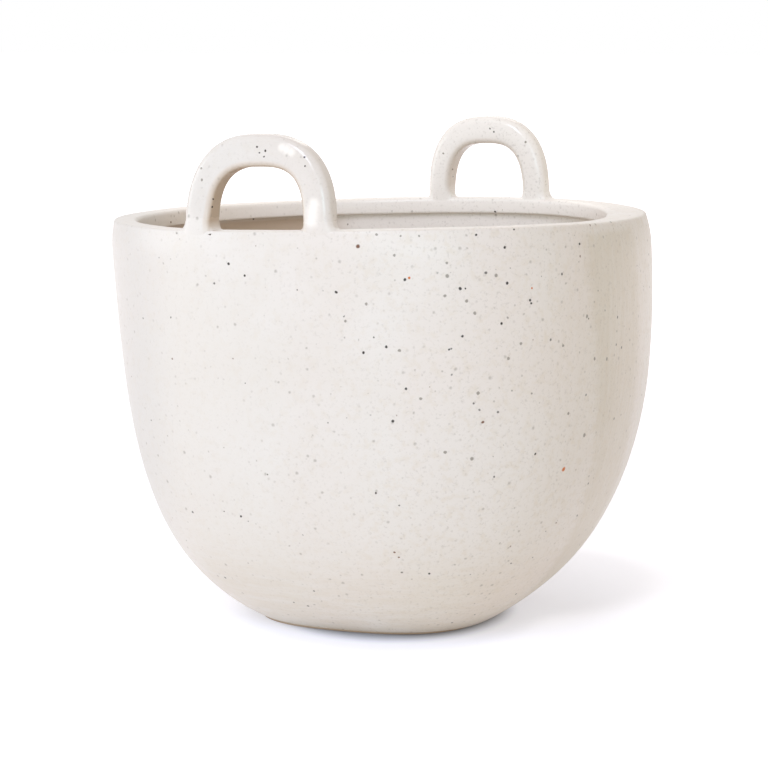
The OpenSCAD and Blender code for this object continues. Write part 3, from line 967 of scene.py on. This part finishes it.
studio = {
    "cameraDir": -62.5,  # where the camera stands round the pot
    "cameraAway": 0.9236,
    "cameraHeight": 0.2138,
    "cameraSide": 0.0003,
    "pitch": 7.92,
    "lens": 116.25,
    "sensor": 36,
    "photoSide": 768,  # pixels
    "aim": 0.08,  # the lamps point at this height
    "ambient": 0.62,
    "ambientColour": (1.0, 0.84, 0.68),
    "floorSize": 30,
    "floorColour": (0.50, 0.545, 0.64),
    # how white the camera sees the floor: from here to there from the pot's middle, up to this level
    "floorGlow": ((0.047, 0.062, 0.50), (0.09, 0.14, 0.58), (0.14, 1.2, 1.0)),
    "glowColour": (1.0, 0.975, 1.0),
    "shadeMiddle": (0.003, 0.0),  # to the right of the pot's middle, and towards the camera
    "shadeSqueeze": 1.25,
    "frontGlow": (0.058, 0.084, 0.14),  # whiter again in front and on the left
    "frontMiddle": (0.04, -0.05),
    "contact": (0.061, 0.08),  # but not close to the foot
    "bounceColour": (0.80, 0.79, 0.77),
    "lowerGlow": 0.195,  # light from the floor close by, up onto the base
    "lowerColour": (0.80, 0.66, 0.583),
    "lowerReach": (0.1, 0.28),
}

# a lamp's turn is counted from the camera, to the right; its tilt from the floor
keyLamp = {
    "name": "keyLamp", "turn": -25, "tilt": 38, "away": 1.6, "width": 0.4, "height": 0.8,
    "power": 9.25, "colour": (0.77, 0.81, 1.0),
}
sideLamp = {
    "name": "sideLamp", "turn": -90, "tilt": 9, "away": 2.2, "width": 1.4, "height": 0.9,
    "power": 9, "colour": (0.89, 0.955, 1.0),
}
backLamp = {
    "name": "backLamp", "turn": 180, "tilt": 40, "away": 1.8, "width": 1.0, "height": 1.0,
    "power": 4, "colour": (1.0, 1.0, 1.0),
}
fillLamp = {
    "name": "fillLamp", "turn": 0, "tilt": 9, "away": 2.2, "width": 1.0, "height": 0.6,
    "power": 8, "colour": (0.62, 0.91, 1.0),
}


def studioPoint(right, toward, up):  # metres right of, nearer than and above the pot, as the camera sees it
    turn = studio["cameraDir"]
    return Vector((
        toward * cosd(turn) - right * sind(turn),
        toward * sind(turn) + right * cosd(turn),
        up,
    ))


def makeCamera():
    camera = bpy.data.objects.new("camera", bpy.data.cameras.new("camera"))
    camera.data.lens = studio["lens"]
    camera.data.sensor_width = studio["sensor"]
    camera.location = studioPoint(studio["cameraSide"], studio["cameraAway"], studio["cameraHeight"])
    turn = math.radians(studio["cameraDir"] + 90)
    camera.rotation_euler = (math.radians(90 - studio["pitch"]), 0, turn)
    scene.collection.objects.link(camera)
    scene.camera = camera


def makeLamp(lamp):
    light = bpy.data.objects.new(lamp["name"], bpy.data.lights.new(lamp["name"], "AREA"))
    light.data.shape = "RECTANGLE"
    light.data.size = lamp["width"]
    light.data.size_y = lamp["height"]
    light.data.energy = lamp["power"]
    light.data.color = lamp["colour"]
    flat = lamp["away"] * cosd(lamp["tilt"])
    up = studio["aim"] + lamp["away"] * sind(lamp["tilt"])
    light.location = studioPoint(flat * sind(lamp["turn"]), flat * cosd(lamp["turn"]), up)
    aim = Vector((0, 0, studio["aim"])) - light.location
    light.rotation_euler = aim.to_track_quat("-Z", "Y").to_euler()
    scene.collection.objects.link(light)


def distanceFrom(tree, place, middle, squeeze=1.0):  # over the floor, longer sideways if squeezed
    across = calc(tree, "SUBTRACT", toward(tree, place, studio["cameraDir"] + 90), middle[0])
    across = calc(tree, "MULTIPLY", across, squeeze)
    along = calc(tree, "SUBTRACT", toward(tree, place, studio["cameraDir"]), middle[1])
    squares = calc(tree, "MULTIPLY_ADD", across, across, calc(tree, "MULTIPLY", along, along))
    return calc(tree, "SQRT", squares)


def makeFloor():
    bm = bmesh.new()
    bmesh.ops.create_grid(bm, x_segments=2, y_segments=2, size=studio["floorSize"])
    material = bpy.data.materials.new("paleFloor")
    material.use_nodes = True
    tree = material.node_tree
    tree.nodes.clear()
    rays = addNode(tree, "ShaderNodeLightPath")
    place = addNode(tree, "ShaderNodeTexCoord").outputs["Object"]
    distance = distanceFrom(tree, place, studio["shadeMiddle"], studio["shadeSqueeze"])
    lift, before = 0.0, 0.0
    for start, end, level in studio["floorGlow"]:
        stretch = calc(tree, "MULTIPLY", ramp(tree, distance, start, end), level - before)
        lift, before = calc(tree, "ADD", stretch, lift), level
    start, end, level = studio["frontGlow"]
    front = ramp(tree, distanceFrom(tree, place, studio["frontMiddle"]), start, end)
    front = calc(tree, "MULTIPLY", front, ramp(tree, distance, *studio["contact"]))
    lift = calc(tree, "ADD", lift, calc(tree, "MULTIPLY", front, level))
    glow = addNode(tree, "ShaderNodeEmission", {"Color": (*studio["glowColour"], 1)})
    tree.links.new(lift, glow.inputs["Strength"])
    seen = addNode(tree, "ShaderNodeBsdfDiffuse", {"Color": (*studio["floorColour"], 1)})
    lifted = addNode(tree, "ShaderNodeAddShader")
    tree.links.new(seen.outputs[0], lifted.inputs[0])
    tree.links.new(glow.outputs[0], lifted.inputs[1])
    bounce = addNode(tree, "ShaderNodeBsdfDiffuse", {"Color": (*studio["bounceColour"], 1)})
    close = opposite(tree, ramp(tree, distance, *studio["lowerReach"]))
    lower = addNode(tree, "ShaderNodeEmission", {"Color": (*studio["lowerColour"], 1)})
    tree.links.new(calc(tree, "MULTIPLY", close, studio["lowerGlow"]), lower.inputs["Strength"])
    bounced = addNode(tree, "ShaderNodeAddShader")
    tree.links.new(bounce.outputs[0], bounced.inputs[0])
    tree.links.new(lower.outputs[0], bounced.inputs[1])
    both = addNode(tree, "ShaderNodeMixShader")
    seenRays = calc(tree, "MAXIMUM", rays.outputs["Is Camera Ray"], rays.outputs["Is Glossy Ray"])
    seenRays = calc(tree, "MAXIMUM", seenRays, rays.outputs["Is Transmission Ray"])
    tree.links.new(seenRays, both.inputs["Fac"])
    tree.links.new(bounced.outputs[0], both.inputs[1])
    tree.links.new(lifted.outputs[0], both.inputs[2])
    out = addNode(tree, "ShaderNodeOutputMaterial")
    tree.links.new(both.outputs[0], out.inputs[0])
    floor = finishMesh(bm, "floor")
    floor.data.materials.append(material)


def makeWorld():
    world = bpy.data.worlds.new("studioWhite")
    scene.world = world
    world.use_nodes = True
    tree = world.node_tree
    light = tree.nodes["Background"]
    rays = addNode(tree, "ShaderNodeLightPath")
    shown = calc(tree, "MAXIMUM", rays.outputs["Is Camera Ray"], rays.outputs["Is Transmission Ray"])
    shown = calc(tree, "MAXIMUM", shown, rays.outputs["Is Glossy Ray"])
    colour = tint(tree, studio["ambientColour"], shown, (1, 1, 1))
    tree.links.new(colour, light.inputs["Color"])
    rest = calc(tree, "MULTIPLY", opposite(tree, shown), studio["ambient"])
    tree.links.new(calc(tree, "ADD", shown, rest), light.inputs["Strength"])


scene.view_settings.view_transform = "Standard"
makeCamera()
makeWorld()
makeFloor()
for lamp in (keyLamp, sideLamp, fillLamp, backLamp):
    makeLamp(lamp)
print("studio: camera, floor and lamps")

bowl = makeBody()
print("body:", len(bowl.data.polygons), "faces")
pieces = {"pot_body": bowl}
for handle in (frontHandle, backHandle):
    loop = makeLoop(handle)
    pieces[handle["node"]] = loop
    print("handle:", loop.name, len(loop.data.polygons), "faces")

bpy.context.view_layer.update()
speckledGlaze = makeGlaze(pieces.values())
for node, piece in pieces.items():
    piece.data.materials.append(speckledGlaze)
    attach(piece, "root")
    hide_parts(node)
print("glaze:", len(speckledGlaze.node_tree.nodes), "nodes")
